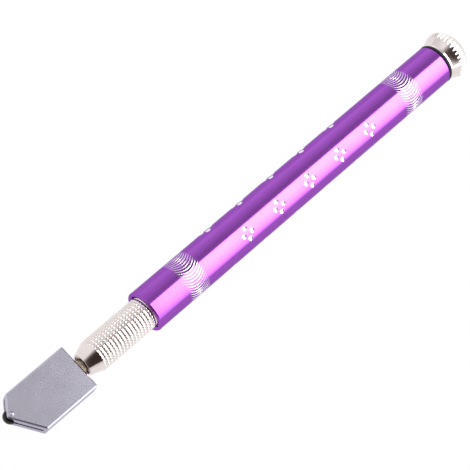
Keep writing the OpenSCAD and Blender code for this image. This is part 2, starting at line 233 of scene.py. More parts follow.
def metal(name, colour, roughness, grain, bump, mottle=0.05, streak=0.06, metallic=1.0, coat=0.0,
        edge=(1, 1, 1)):
    """A worked metal surface. The grain is its marks' size in mm along and across the
    tool; bump is their depth in mm; mottle and streak vary its colour and its gloss."""
    material = bpy.data.materials.new(name)
    material.use_nodes = True
    tree = material.node_tree
    shader = tree.nodes["Principled BSDF"]
    shader.inputs["Metallic"].default_value = metallic
    shader.inputs["Specular Tint"].default_value = edge + (1,)
    shader.inputs["Coat Weight"].default_value = coat
    shader.inputs["Coat Roughness"].default_value = 0.04
    place = tree.nodes.new("ShaderNodeTexCoord").outputs["Object"]

    def noise(scale, detail):
        mapping = tree.nodes.new("ShaderNodeMapping")
        mapping.inputs["Scale"].default_value = scale
        tree.links.new(place, mapping.inputs["Vector"])
        texture = tree.nodes.new("ShaderNodeTexNoise")
        texture.inputs["Scale"].default_value = 1
        texture.inputs["Detail"].default_value = detail
        tree.links.new(mapping.outputs[0], texture.inputs["Vector"])
        return texture.outputs["Fac"]

    marks = noise((1000 / grain[0], 1000 / grain[1], 1000 / grain[1]), 3)
    drift = noise((160, 160, 160), 2)

    tint = tree.nodes.new("ShaderNodeValToRGB")
    tint.color_ramp.elements[0].position, tint.color_ramp.elements[1].position = 0.3, 0.7
    tint.color_ramp.elements[0].color = tuple(c * (1 - mottle) for c in colour) + (1,)
    tint.color_ramp.elements[1].color = tuple(min(1, c * (1 + mottle)) for c in colour) + (1,)
    tree.links.new(drift, tint.inputs[0])
    tree.links.new(tint.outputs[0], shader.inputs["Base Color"])

    gloss = tree.nodes.new("ShaderNodeMapRange")
    for label, value in (("From Min", 0.3), ("From Max", 0.7), ("To Min", roughness - streak / 2),
            ("To Max", roughness + streak / 2)):
        gloss.inputs[label].default_value = value
    tree.links.new(marks, gloss.inputs["Value"])
    tree.links.new(gloss.outputs[0], shader.inputs["Roughness"])

    relief = tree.nodes.new("ShaderNodeBump")
    relief.inputs["Strength"].default_value = 1
    relief.inputs["Distance"].default_value = bump / 1000
    tree.links.new(marks, relief.inputs["Height"])
    tree.links.new(relief.outputs[0], shader.inputs["Normal"])
    return material


purple_anodising = metal("purple_anodising", (0.30, 0.062, 0.46), 0.13, (9, 0.12), 0.0008,
    mottle=0.04, streak=0.05, coat=0.45, edge=(0.5, 0.3, 0.65))
bright_cut = metal("bright_cut_aluminium", (0.86, 0.85, 0.88), 0.30, (0.2, 0.2), 0.004)

tube_end, tube_radius, edge_round = 115, 6, 0.5
tube_inside = eased([(tube_end, 5.3), (tube_end, 4.95), (105, 4.95), (105, 4.6), (10, 4.6), (10, 4.0),
    (2.2, 4.0), (2.2, 4.75), (0.4, 4.75), (0, 5.15), (0, 5.3)], 0.06)[4:-4]
tube_outside = [(edge_round * (1 - math.sin(a)), tube_radius - edge_round * (1 - math.cos(a)))
    for a in (math.pi / 2 * (1 - k / 6) for k in range(7))]
tube_outside += [(tube_end - station, radius) for station, radius in reversed(tube_outside)]
handle_tube = turned("handle_tube_engraved", tube_inside + tube_outside)
handle_tube.data.materials.append(purple_anodising)

engraving = bpy.data.node_groups.new("engraving", "GeometryNodeTree")
engraving.interface.new_socket("Geometry", in_out="INPUT", socket_type="NodeSocketGeometry")


def size_input(tree, label, kind="NodeSocketFloat"):
    """Adds a named input to a geometry tree."""
    tree.interface.new_socket(label, in_out="INPUT", socket_type=kind)


def geo(tree, kind, *feeds, **options):
    """Adds a geometry node, feeds its sockets in order (None leaves one as it is) and
    returns its first output."""
    made = tree.nodes.new(kind)
    for key, value in options.items():
        setattr(made, key, value)
    for socket, feed in zip(made.inputs, feeds):
        if isinstance(feed, bpy.types.NodeSocket):
            tree.links.new(feed, socket)
        elif feed is not None:
            socket.default_value = feed
    return made.outputs[0]


def calc(tree, operation, *feeds):
    """One sum in a geometry tree."""
    return geo(tree, "ShaderNodeMath", *feeds, operation=operation)


def set_sizes(piece, tree, **sizes):
    """Puts the tree on the piece as a modifier, with its named inputs set."""
    modifier = piece.modifiers.new(tree.name, "NODES")
    modifier.node_group = tree
    for item in tree.interface.items_tree:
        if item.in_out == "INPUT" and item.name.replace(" ", "_") in sizes:
            modifier[item.identifier] = sizes[item.name.replace(" ", "_")]


for label in ("tube radius", "first flower", "flower pitch", "row stagger", "dot offset", "dot radius",
        "dot depth", "flower angle", "row lean", "first band", "band spacing", "arc chord", "arc bow",
        "arc width", "arc depth"):
    size_input(engraving, label)
size_input(engraving, "arc count", "NodeSocketInt")
size_input(engraving, "cut finish", "NodeSocketMaterial")
engraving.interface.new_socket("Geometry", in_out="OUTPUT", socket_type="NodeSocketGeometry")
given = engraving.nodes.new("NodeGroupInput").outputs

# flowers: five along each of four rows, four dots to a flower, every other row set
# back by the stagger and leaning a little further round
dot_index = geo(engraving, "GeometryNodeInputIndex")
dot_turn = calc(engraving, "MULTIPLY", calc(engraving, "MODULO", dot_index, 4), math.pi / 2)
flower = calc(engraving, "MODULO", calc(engraving, "FLOOR", calc(engraving, "DIVIDE", dot_index, 4)), 5)
flower_row = calc(engraving, "FLOOR", calc(engraving, "DIVIDE", dot_index, 20))
odd_row = calc(engraving, "MODULO", flower_row, 2)
row_start = calc(engraving, "SUBTRACT", given["first flower"], calc(engraving, "MULTIPLY", odd_row,
    given["row stagger"]))
dot_station = calc(engraving, "ADD", row_start, calc(engraving, "ADD",
    calc(engraving, "MULTIPLY", flower, given["flower pitch"]),
    calc(engraving, "MULTIPLY", calc(engraving, "COSINE", dot_turn), given["dot offset"])))
row_angle = calc(engraving, "ADD", calc(engraving, "MULTIPLY", flower_row, math.pi / 2),
    calc(engraving, "MULTIPLY", odd_row, given["row lean"]))
dot_angle = calc(engraving, "ADD", calc(engraving, "ADD", given["flower angle"], row_angle),
    calc(engraving, "DIVIDE",
    calc(engraving, "MULTIPLY", calc(engraving, "SINE", dot_turn), given["dot offset"]),
    given["tube radius"]))
cutter_lift = calc(engraving, "MULTIPLY", given["dot depth"], 0.5)
cutter_reach = calc(engraving, "ADD", given["tube radius"], cutter_lift)
dot_place = geo(engraving, "ShaderNodeCombineXYZ", dot_station,
    calc(engraving, "MULTIPLY", cutter_reach, calc(engraving, "SINE", dot_angle)),
    calc(engraving, "MULTIPLY", cutter_reach, calc(engraving, "COSINE", dot_angle)))
dot_points = geo(engraving, "GeometryNodePoints", 80, dot_place)
ball_cutter = geo(engraving, "GeometryNodeTransform",
    geo(engraving, "GeometryNodeMeshUVSphere", 24, 12, 1.0))
dot_width = calc(engraving, "MULTIPLY", given["dot radius"], 3 / math.sqrt(8))
dot_height = calc(engraving, "MULTIPLY", given["dot depth"], 1.5)
engraving.links.new(geo(engraving, "ShaderNodeCombineXYZ", dot_width, dot_width, dot_height),
    ball_cutter.node.inputs["Scale"])
dot_cutters = engraving.nodes.new("GeometryNodeInstanceOnPoints")
engraving.links.new(dot_points, dot_cutters.inputs["Points"])
engraving.links.new(ball_cutter, dot_cutters.inputs["Instance"])
engraving.links.new(geo(engraving, "ShaderNodeCombineXYZ",
    calc(engraving, "MULTIPLY", dot_angle, -1), 0.0, 0.0), dot_cutters.inputs["Rotation"])

# arcs: one tapered cut bowed round the tube, repeated round both bands
arc_line = geo(engraving, "GeometryNodeCurvePrimitiveLine", (-1, 0, 0), (1, 0, 0))
arc_line = geo(engraving, "GeometryNodeResampleCurve", arc_line)
arc_line.node.inputs["Count"].default_value = 19
arc_u = calc(engraving, "SUBTRACT", calc(engraving, "MULTIPLY",
    geo(engraving, "GeometryNodeSplineParameter"), 2.0), 1.0)
arc_rise = calc(engraving, "SUBTRACT", 1.0, calc(engraving, "MULTIPLY", arc_u, arc_u))
arc_angle = calc(engraving, "MULTIPLY", arc_rise, calc(engraving, "DIVIDE",
    calc(engraving, "MULTIPLY", given["arc bow"], -1), given["tube radius"]))
half_width = calc(engraving, "MULTIPLY", given["arc width"], 0.5)
tool_radius = calc(engraving, "DIVIDE", calc(engraving, "ADD",
    calc(engraving, "MULTIPLY", half_width, half_width),
    calc(engraving, "MULTIPLY", given["arc depth"], given["arc depth"])),
    calc(engraving, "MULTIPLY", given["arc depth"], 2))
arc_reach = calc(engraving, "ADD", given["tube radius"],
    calc(engraving, "SUBTRACT", tool_radius, given["arc depth"]))
arc_place = geo(engraving, "ShaderNodeCombineXYZ",
    calc(engraving, "MULTIPLY", arc_u, calc(engraving, "MULTIPLY", given["arc chord"], 0.5)),
    calc(engraving, "MULTIPLY", arc_reach, calc(engraving, "SINE", arc_angle)),
    calc(engraving, "MULTIPLY", arc_reach, calc(engraving, "COSINE", arc_angle)))
arc_line = geo(engraving, "GeometryNodeSetPosition", arc_line, None, arc_place)
arc_taper = calc(engraving, "ADD", 0.45, calc(engraving, "MULTIPLY", arc_rise, 0.55))
arc_tube = engraving.nodes.new("GeometryNodeCurveToMesh")
engraving.links.new(arc_line, arc_tube.inputs["Curve"])
arc_profile = geo(engraving, "GeometryNodeCurvePrimitiveCircle")
arc_profile.node.inputs["Resolution"].default_value = 8
engraving.links.new(tool_radius, arc_profile.node.inputs["Radius"])
engraving.links.new(arc_profile, arc_tube.inputs["Profile Curve"])
engraving.links.new(arc_taper, arc_tube.inputs["Scale"])
arc_tube.inputs["Fill Caps"].default_value = True
arc_index = geo(engraving, "GeometryNodeInputIndex")
arc_step = calc(engraving, "MODULO", arc_index, given["arc count"])
arc_band = calc(engraving, "FLOOR", calc(engraving, "DIVIDE", arc_index, given["arc count"]))
arc_points = geo(engraving, "GeometryNodePoints", calc(engraving, "MULTIPLY", given["arc count"], 2),
    geo(engraving, "ShaderNodeCombineXYZ", calc(engraving, "ADD", given["first band"],
    calc(engraving, "MULTIPLY", arc_band, given["band spacing"])), 0.0, 0.0))
arc_cutters = engraving.nodes.new("GeometryNodeInstanceOnPoints")
engraving.links.new(arc_points, arc_cutters.inputs["Points"])
engraving.links.new(arc_tube.outputs[0], arc_cutters.inputs["Instance"])
engraving.links.new(geo(engraving, "ShaderNodeCombineXYZ", calc(engraving, "DIVIDE",
    calc(engraving, "MULTIPLY", arc_step, math.tau), given["arc count"]), 0.0, 0.0),
    arc_cutters.inputs["Rotation"])

cutters = engraving.nodes.new("GeometryNodeJoinGeometry")
for made in (dot_cutters, arc_cutters):
    engraving.links.new(made.outputs[0], cutters.inputs[0])
cutters = geo(engraving, "GeometryNodeRealizeInstances", cutters.outputs[0])
cutters = geo(engraving, "GeometryNodeSetMaterial", cutters, None, given["cut finish"])
cut_tube = engraving.nodes.new("GeometryNodeMeshBoolean")
cut_tube.operation, cut_tube.solver = "DIFFERENCE", "EXACT"
engraving.links.new(given["Geometry"], cut_tube.inputs["Mesh 1"])
engraving.links.new(cutters, cut_tube.inputs["Mesh 2"])
cut_tube = geo(engraving, "GeometryNodeRealizeInstances", cut_tube.outputs[0])
engraving.links.new(cut_tube, engraving.nodes.new("NodeGroupOutput").inputs[0])

set_sizes(handle_tube, engraving, tube_radius=6.0, first_flower=34.35, flower_pitch=12.0, row_stagger=6.7,
    dot_offset=1.48, dot_radius=0.78, dot_depth=0.2, flower_angle=math.radians(-26),
    row_lean=math.radians(9.5), first_band=14.8, band_spacing=84.9, arc_chord=7.6, arc_bow=1.9,
    arc_width=0.28, arc_depth=0.075, arc_count=45, cut_finish=bright_cut)
baked(handle_tube, "handle", "anodised_tube", "handle_tube")

# the anodised skin between the cuts stays truly round, so its shine runs straight
skin_mesh = handle_tube.data
skin_normals = [tuple(corner.vector) for corner in skin_mesh.corner_normals]
for face in skin_mesh.polygons:
    rims = [skin_mesh.vertices[v].co - Vector((0, 0, axis_z)) for v in face.vertices]
    if all(abs(math.hypot(rim.y, rim.z) * 1000 - tube_radius) < 0.004 for rim in rims):
        for loop, rim in zip(face.loop_indices, rims):
            skin_normals[loop] = tuple(Vector((0, rim.y, rim.z)).normalized())
skin_mesh.normals_split_custom_set(skin_normals)

# ---- Front seal ring ----------------------------------------------------------------
# A black nitrile ring pressed between the ferrule's shoulder and the counterbore's
# floor, so that oil can't creep out past the thread.


def rubber(name, colour):
    """Matt moulded rubber with a fine mould texture and a little wear on its gloss."""
    return metal(name, colour, 0.55, (0.15, 0.15), 0.003, mottle=0.25, streak=0.2, metallic=0.0)


nitrile = rubber("black_nitrile", (0.009, 0.008, 0.010))
front_seal = turned("front_seal_ring", eased([(1.23, 3.98), (1.23, 4.57), (2.17, 4.57), (2.17, 3.98)], 0.2, 5))
front_seal.data.materials.append(nitrile)
baked(front_seal, "front_ring", "seal_rubber", "front_seal")

# ---- Ferrule ------------------------------------------------------------------------
# Nickel-plated brass, turned on a lathe. Its barrel is crossed by turned rings and
# straight flutes that leave square studs for grip; a fine thread screws it in the tube.
bright_nickel = metal("bright_nickel", (0.78, 0.71, 0.695), 0.12, (0.06, 1.5), 0.0012, streak=0.08)

cut_pattern = bpy.data.node_groups.new("cut_pattern", "GeometryNodeTree")
cut_pattern.interface.new_socket("Geometry", in_out="INPUT", socket_type="NodeSocketGeometry")
for label in ("start", "end", "run out", "crest radius", "above radius", "ring pitch", "ring twist",
        "ring depth", "ring floor", "ring slope", "flute count", "flute shift", "flute depth", "flute floor",
        "flute slope"):
    size_input(cut_pattern, label)
size_input(cut_pattern, "finish", "NodeSocketMaterial")
cut_pattern.interface.new_socket("Geometry", in_out="OUTPUT", socket_type="NodeSocketGeometry")
given = cut_pattern.nodes.new("NodeGroupInput").outputs
stud_place = geo(cut_pattern, "ShaderNodeSeparateXYZ", geo(cut_pattern, "GeometryNodeInputPosition"))
stud_x, stud_y, stud_z = stud_place.node.outputs
stud_radius = calc(cut_pattern, "SQRT", calc(cut_pattern, "ADD",
    calc(cut_pattern, "MULTIPLY", stud_y, stud_y), calc(cut_pattern, "MULTIPLY", stud_z, stud_z)))
stud_turn = calc(cut_pattern, "DIVIDE", calc(cut_pattern, "ARCTAN2", stud_y, stud_z), math.tau)


def groove(phase, floor, slope):
    """1 on a groove's floor, at half phase, falling to 0 up its sides."""
    away = calc(cut_pattern, "ABSOLUTE", calc(cut_pattern, "SUBTRACT", calc(cut_pattern, "FRACT", phase), 0.5))
    rise = cut_pattern.nodes.new("ShaderNodeMapRange")
    rise.interpolation_type = "SMOOTHSTEP"
    cut_pattern.links.new(away, rise.inputs["Value"])
    cut_pattern.links.new(floor, rise.inputs["From Min"])
    cut_pattern.links.new(calc(cut_pattern, "ADD", floor, slope), rise.inputs["From Max"])
    rise.inputs["To Min"].default_value, rise.inputs["To Max"].default_value = 1, 0
    return rise.outputs[0]


ring_phase = calc(cut_pattern, "ADD", calc(cut_pattern, "DIVIDE",
    calc(cut_pattern, "SUBTRACT", stud_x, given["start"]), given["ring pitch"]),
    calc(cut_pattern, "MULTIPLY", stud_turn, given["ring twist"]))
flute_phase = calc(cut_pattern, "ADD", calc(cut_pattern, "MULTIPLY", stud_turn, given["flute count"]),
    given["flute shift"])
cut_depth = calc(cut_pattern, "MAXIMUM",
    calc(cut_pattern, "MULTIPLY", groove(ring_phase, given["ring floor"], given["ring slope"]),
    given["ring depth"]),
    calc(cut_pattern, "MULTIPLY", groove(flute_phase, given["flute floor"], given["flute slope"]),
    given["flute depth"]))


def run_out(distance):
    """0 where the cutter hasn't yet entered the metal, 1 once it is down to depth."""
    share = calc(cut_pattern, "DIVIDE", distance, given["run out"])
    return calc(cut_pattern, "MINIMUM", calc(cut_pattern, "MAXIMUM", share, 0.0), 1.0)


cut_depth = calc(cut_pattern, "MULTIPLY", cut_depth, calc(cut_pattern, "MULTIPLY",
    run_out(calc(cut_pattern, "SUBTRACT", stud_x, given["start"])),
    run_out(calc(cut_pattern, "SUBTRACT", given["end"], stud_x))))
cut_to = calc(cut_pattern, "MINIMUM", stud_radius,
    calc(cut_pattern, "SUBTRACT", given["crest radius"], cut_depth))
cut_move = calc(cut_pattern, "MULTIPLY", calc(cut_pattern, "GREATER_THAN", stud_radius, given["above radius"]),
    calc(cut_pattern, "DIVIDE", calc(cut_pattern, "SUBTRACT", cut_to, stud_radius),
    calc(cut_pattern, "MAXIMUM", stud_radius, 0.001)))
in_pattern = calc(cut_pattern, "MULTIPLY", calc(cut_pattern, "GREATER_THAN", stud_x, given["start"]),
    calc(cut_pattern, "LESS_THAN", stud_x, given["end"]))
cut_move = calc(cut_pattern, "MULTIPLY", cut_move, in_pattern)
pattern = geo(cut_pattern, "GeometryNodeSetPosition", given["Geometry"], None, None,
    geo(cut_pattern, "ShaderNodeCombineXYZ", 0.0, calc(cut_pattern, "MULTIPLY", stud_y, cut_move),
    calc(cut_pattern, "MULTIPLY", stud_z, cut_move)))
pattern = geo(cut_pattern, "GeometryNodeRealizeInstances", pattern)
pattern = geo(cut_pattern, "GeometryNodeSetMaterial", pattern, None, given["finish"])
cut_pattern.links.new(pattern, cut_pattern.nodes.new("NodeGroupOutput").inputs[0])

nose_x, barrel_x, barrel_end, spigot_end, thread_pitch = -21.8, -17.9, 1.2, 8.5, 0.75
ferrule_front = eased([(nose_x + 1.2, 2.3), (nose_x + 1.2, 2.7), (nose_x, 2.7), (nose_x, 3.15),
    (barrel_x, 4.6), (barrel_end, 4.6)], 0.12)[4:-4]
ferrule_back = eased([(barrel_end, 4.6), (barrel_end, 3.95), (spigot_end, 3.95), (spigot_end, 3.3),
    (-14.5, 3.3), (-14.5, 2.3), (nose_x + 1.2, 2.3)], 0.1)
ferrule = turned("ferrule_knurled", ferrule_front + rows_between(barrel_x + 0.15, barrel_end - 0.15, 4.6, 150)
    + ferrule_back[0:5] + rows_between(1.9, spigot_end - 0.35, 3.95, 54) + ferrule_back[9:], 240)
set_sizes(ferrule, cut_pattern, start=barrel_x, end=1.1, run_out=0.12, crest_radius=4.6, above_radius=4.2,
    ring_pitch=1.09, ring_twist=0.0, ring_depth=0.32, ring_floor=0.08, ring_slope=0.2,
    flute_count=30.0, flute_shift=0.0, flute_depth=0.2, flute_floor=0.04, flute_slope=0.14,
    finish=bright_nickel)
set_sizes(ferrule, cut_pattern, start=1.8, end=spigot_end, run_out=0.5, crest_radius=3.95, above_radius=3.6,
    ring_pitch=thread_pitch, ring_twist=1.0, ring_depth=0.3, ring_floor=0.06, ring_slope=0.4,
    flute_count=1.0, flute_shift=0.0, flute_depth=0.0, flute_floor=0.1, flute_slope=0.1, finish=bright_nickel)
baked(ferrule, "ferrule", "nickel_plate", "ferrule", sharp=60)

# ---- Oil valve ----------------------------------------------------------------------
# A brass seat pushed into the ferrule's chamber and a steel ball, held in by a screwed
# brass retainer. Its slot takes a driver, and its hole lets the oil through.
valve_brass = metal("valve_brass", (0.78, 0.56, 0.27), 0.22, (0.08, 1.5), 0.002)
ball_steel = metal("polished_ball_steel", (0.66, 0.66, 0.68), 0.07, (0.3, 0.3), 0.0004, streak=0.04)


def steps_of(node):
    """A CAD node's two ends, as stations in millimetres."""
    low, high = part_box(node)
    return (low.x - front_x) * 1000, (high.x - front_x) * 1000


def cut_away(piece, name, cutter, centre, turn=None, finish=None):
    """Cuts a shape out of the piece: a bar of (radius, length) or a block of three sides.
    The cut faces take their own finish where one is given."""
    work = bmesh.new()
    if len(cutter) == 2:
        bmesh.ops.create_cone(work, cap_ends=True, segments=64, radius1=cutter[0], radius2=cutter[0],
            depth=cutter[1])
    else:
        bmesh.ops.create_cube(work, size=1)
        bmesh.ops.scale(work, vec=cutter, verts=work.verts)
    if turn:
        bmesh.ops.rotate(work, matrix=Matrix.Rotation(math.radians(90), 3, turn), verts=work.verts)
    bmesh.ops.translate(work, vec=centre, verts=work.verts)
    for face in work.faces:
        face.smooth = True
    mesh = bpy.data.meshes.new(name)
    work.to_mesh(mesh)
    work.free()
    tool = bpy.data.objects.new(name, mesh)
    bpy.context.scene.collection.objects.link(tool)
    modifier = piece.modifiers.new(name, "BOOLEAN")
    modifier.operation, modifier.solver, modifier.object = "DIFFERENCE", "EXACT", tool
    modifier.material_mode = "TRANSFER"
    mesh.materials.append(finish or piece.data.materials[0])
    return tool


def cut_and_clear(piece, tools):
    """Makes the cuts final and takes the cutting shapes out of the scene."""
    graph = bpy.context.evaluated_depsgraph_get()
    piece.data = bpy.data.meshes.new_from_object(piece.evaluated_get(graph), depsgraph=graph)
    piece.modifiers.clear()
    for tool in tools:
        bpy.data.objects.remove(tool)


seat_start, seat_end = steps_of("valve_seat")
valve_seat = turned("valve_seat_turned", eased([(seat_start, 1.15), (seat_start, 3.3), (seat_end, 3.3),
    (seat_end, 1.9), (seat_end - 0.75, 1.15)], 0.05), 96)
valve_seat.data.materials.append(valve_brass)
baked(valve_seat, "ferrule", "valve_brass", "valve_seat")

retainer_start, retainer_end = steps_of("valve_retainer")
retainer = turned("valve_retainer_slotted", eased([(retainer_start, 0.9), (retainer_start, 3.3),
    (retainer_end, 3.3), (retainer_end, 0.9)], 0.08), 96)
retainer.data.materials.append(valve_brass)
cut_and_clear(retainer, [cut_away(retainer, "driver_slot", (1.6, 8, 0.8), (retainer_end, 0, 0))])
baked(retainer, "ferrule", "valve_brass", "valve_retainer")

ball_start, ball_end = steps_of("valve_ball")
ball_radius, ball_middle = (ball_end - ball_start) / 2, (ball_start + ball_end) / 2
valve_ball = turned("valve_ball_ground", [(ball_middle - ball_radius * math.cos(math.pi * k / 32),
    ball_radius * math.sin(math.pi * k / 32) if 0 < k < 32 else 0) for k in range(33)], 64)
valve_ball.data.materials.append(ball_steel)
baked(valve_ball, "ball", "ball_steel", "valve_ball")

# ---- Springs ------------------------------------------------------------------------
# Both springs are coiled from round stainless wire with their end turns lying flat:
# the stout one presses the head forward, the fine one keeps the ball on its seat.
spring_wire = metal("spring_wire", (0.60, 0.59, 0.60), 0.2, (0.1, 0.1), 0.001)

coiling = bpy.data.node_groups.new("coiling", "GeometryNodeTree")
coiling.interface.new_socket("Geometry", in_out="INPUT", socket_type="NodeSocketGeometry")
for label in ("start", "length", "mean radius", "wire", "turns", "closed share", "first turn"):
    size_input(coiling, label)
size_input(coiling, "steps", "NodeSocketInt")
size_input(coiling, "sides", "NodeSocketInt")
size_input(coiling, "finish", "NodeSocketMaterial")
coiling.interface.new_socket("Geometry", in_out="OUTPUT", socket_type="NodeSocketGeometry")
given = coiling.nodes.new("NodeGroupInput").outputs
wire_line = geo(coiling, "GeometryNodeCurvePrimitiveLine", (0, 0, 0), (1, 0, 0))
wire_line = geo(coiling, "GeometryNodeResampleCurve", wire_line)
coiling.links.new(given["steps"], wire_line.node.inputs["Count"])
wound = geo(coiling, "ShaderNodeSeparateXYZ", geo(coiling, "GeometryNodeInputPosition"))
wound = calc(coiling, "MULTIPLY", wound, given["turns"])
# the first and last turn climb by little more than the wire, the others share the rest
lie = calc(coiling, "MULTIPLY", calc(coiling, "MULTIPLY", given["wire"], 1.1), given["closed share"])
closed = calc(coiling, "MULTIPLY", lie, calc(coiling, "ADD", calc(coiling, "MINIMUM", wound, 1.0),
    calc(coiling, "MAXIMUM", calc(coiling, "SUBTRACT", wound, calc(coiling, "SUBTRACT", given["turns"], 1.0)),
    0.0)))
open_share = calc(coiling, "MINIMUM", calc(coiling, "MAXIMUM", calc(coiling, "DIVIDE",
    calc(coiling, "SUBTRACT", wound, given["closed share"]), calc(coiling, "SUBTRACT", given["turns"],
    calc(coiling, "MULTIPLY", given["closed share"], 2))), 0.0), 1.0)
open_len = calc(coiling, "SUBTRACT", calc(coiling, "SUBTRACT", given["length"], given["wire"]),
    calc(coiling, "MULTIPLY", lie, 2))
wire_station = calc(coiling, "ADD", calc(coiling, "ADD", given["start"], calc(coiling, "MULTIPLY",
    given["wire"], 0.5)), calc(coiling, "ADD", closed, calc(coiling, "MULTIPLY", open_share, open_len)))
wire_turn = calc(coiling, "MULTIPLY", calc(coiling, "ADD", wound, given["first turn"]), math.tau)
wire_line = geo(coiling, "GeometryNodeSetPosition", wire_line, None, geo(coiling, "ShaderNodeCombineXYZ",
    wire_station, calc(coiling, "MULTIPLY", given["mean radius"], calc(coiling, "COSINE", wire_turn)),
    calc(coiling, "MULTIPLY", given["mean radius"], calc(coiling, "SINE", wire_turn))))
wire_round = geo(coiling, "GeometryNodeCurvePrimitiveCircle")
coiling.links.new(given["sides"], wire_round.node.inputs["Resolution"])
coiling.links.new(calc(coiling, "MULTIPLY", given["wire"], 0.5), wire_round.node.inputs["Radius"])
wire_mesh = coiling.nodes.new("GeometryNodeCurveToMesh")
coiling.links.new(wire_line, wire_mesh.inputs["Curve"])
coiling.links.new(wire_round, wire_mesh.inputs["Profile Curve"])
wire_mesh.inputs["Fill Caps"].default_value = True
wire_mesh = geo(coiling, "GeometryNodeRealizeInstances", wire_mesh.outputs[0])
wire_mesh = geo(coiling, "GeometryNodeSetMaterial", wire_mesh, None, given["finish"])
coiling.links.new(wire_mesh, coiling.nodes.new("NodeGroupOutput").inputs[0])


def coiled(name, **sizes):
    """A piece wound from round wire."""
    piece = bpy.data.objects.new(name, bpy.data.meshes.new(name))
    bpy.context.scene.collection.objects.link(piece)
    set_sizes(piece, coiling, **sizes)
    return piece


def gives_way(spring):
    """Gives the spring its own copy of its mesh."""
    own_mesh(spring)


pressure_start, pressure_end = steps_of("pressure_spring")
pressure_spring = coiled("pressure_spring_coiled", start=pressure_start, length=pressure_end - pressure_start,
    mean_radius=2.45, wire=0.5, turns=7.0, closed_share=1.0, first_turn=0.0, steps=337, sides=16,
    finish=spring_wire)
baked(pressure_spring, "ferrule", "spring_steel", "pressure_spring")
gives_way(pressure_spring)

fine_start, fine_end = steps_of("valve_spring")
valve_spring = coiled("valve_spring_coiled", start=fine_start, length=fine_end - fine_start,
    mean_radius=1.15, wire=0.3, turns=4.0, closed_share=1.0, first_turn=0.0, steps=161, sides=12,
    finish=spring_wire)
baked(valve_spring, "ferrule", "spring_steel", "valve_spring")
gives_way(valve_spring)

# ---- Press stem ---------------------------------------------------------------------
# Turned brass. It runs in the ferrule's nose, is stopped by its flange, and carries the
# head on a pressed spigot. Two cross holes lead the oil into its bore.
# the stem's brass is darkened to a dull brown: a real brass tint with painted shade of the dark recess between
# the nose and the head
stem_brass = metal("nickelled_brass", (0.42, 0.33, 0.26), 0.3, (0.08, 1.5), 0.002)
stem_start, stem_end = steps_of("head_stem")
head_back, groove_at, flange_start, flange_end = -23.1, -18.2, -14.47, -12.97
stem = turned("press_stem", eased([(stem_start, 0.8), (stem_start, 1.6), (head_back, 1.6), (head_back, 1.8),
    (head_back + 1.9, 1.8), (head_back + 1.9, 2.25),
    (groove_at - 0.44, 2.25), (groove_at - 0.44, 1.69), (groove_at + 0.44, 1.69), (groove_at + 0.44, 2.25),
    (flange_start, 2.25), (flange_start, 3.2), (flange_end, 3.2), (flange_end, 1.5), (stem_end, 1.5),
    (stem_end, 0.8)], 0.12), 96)
stem.data.materials.append(stem_brass)
cut_and_clear(stem, [cut_away(stem, "cross_hole_" + turn.lower(), (0.45, 6), (stem_end - 3, 0, 0), turn)
    for turn in ("X", "Z")])
baked(stem, "head", "stem_brass", "head_stem")

pin_start, pin_end = steps_of("push_pin")
push_pin = turned("push_pin_ground", eased([(pin_start, 0), (pin_start, 0.8), (pin_end, 0.8),
    (pin_end, 0)], 0.2, 4), 64)
push_pin.data.materials.append(ball_steel)
baked(push_pin, "head", "axle_steel", "push_pin")

ring_middle, ring_radius, ring_section = groove_at, 1.98, 0.29
stem_ring = turned("stem_seal_ring", [(ring_middle + ring_section * math.cos(math.tau * k / 20),
    ring_radius + ring_section * math.sin(math.tau * k / 20)) for k in range(20)], 64)
stem_ring.data.materials.append(nitrile)
baked(stem_ring, "head", "seal_rubber", "stem_seal")

washer_start, washer_end = steps_of("thrust_washer")
washer = turned("thrust_washer_turned", eased([(washer_start, 1.55), (washer_start, 3.2), (washer_end, 3.2),
    (washer_end, 1.55)], 0.08), 64)
washer.data.materials.append(valve_brass)
baked(washer, "press_washer", "valve_brass", "thrust_washer")

# ---- Oil wick -----------------------------------------------------------------------
# Three loosely twisted cotton strands lie in the stem's bore and carry the oil down
# to the cutting wheel.
wick_cotton = metal("wick_cotton", (0.80, 0.74, 0.60), 0.85, (0.05, 0.05), 0.02, mottle=0.15, metallic=0.0)
wick_start, wick_end = steps_of("oil_wick")
wick_parts = [coiled("wick_strand_%d" % (k + 1), start=wick_start, length=wick_end - wick_start,
    mean_radius=0.36, wire=0.64, turns=9.0, closed_share=0.0, first_turn=k / 3, steps=217, sides=10,
    finish=wick_cotton) for k in range(3)]
for strand in wick_parts:
    baked(strand, "head", "wick_felt", "oil_wick")

# ---- Head block ---------------------------------------------------------------------
# A milled steel block with a satin nickel finish. Its slanting front is sawn through
# for oil, and a round pocket at the tip holds the wheel on its axle.
satin_steel = metal("satin_head_steel", (0.55, 0.53, 0.62), 0.13, (0.12, 0.12), 0.0006, streak=0.04,
    edge=(0.62, 0.6, 0.68))
# near-black finish for the cut faces of the wheel pocket and the oil saw: painted shade in these recesses
recess_shade_cut = metal("oily_sawn_steel", (0.045, 0.038, 0.034), 0.5, (0.3, 0.1), 0.004, mottle=0.2, metallic=0.6)
head_half, head_thick = 6.7, 5.2
near_corner, far_corner = Vector((-42.1, head_half)), Vector((-40.0, -head_half))
tip_middle, tip_round = Vector((-44.85, 1.9)), 0.8


def touch_angle(corner, side):
    """Where a line from the corner touches the rounded tip, as an angle round it."""
    away = corner - tip_middle
    return math.atan2(away.y, away.x) + side * math.acos(tip_round / away.length)


first_touch, last_touch = touch_angle(near_corner, 1), touch_angle(far_corner, -1) + math.tau
head_outline = [tuple(p) for p in eased([(head_back, -head_half), (head_back, head_half), tuple(near_corner),
    (-50, 0), tuple(far_corner)], 0.25)]
head_outline = head_outline[:12] + [tuple(tip_middle + tip_round * Vector((math.cos(a), math.sin(a))))
    for a in (first_touch + (last_touch - first_touch) * k / 12 for k in range(13))] + head_outline[-4:]


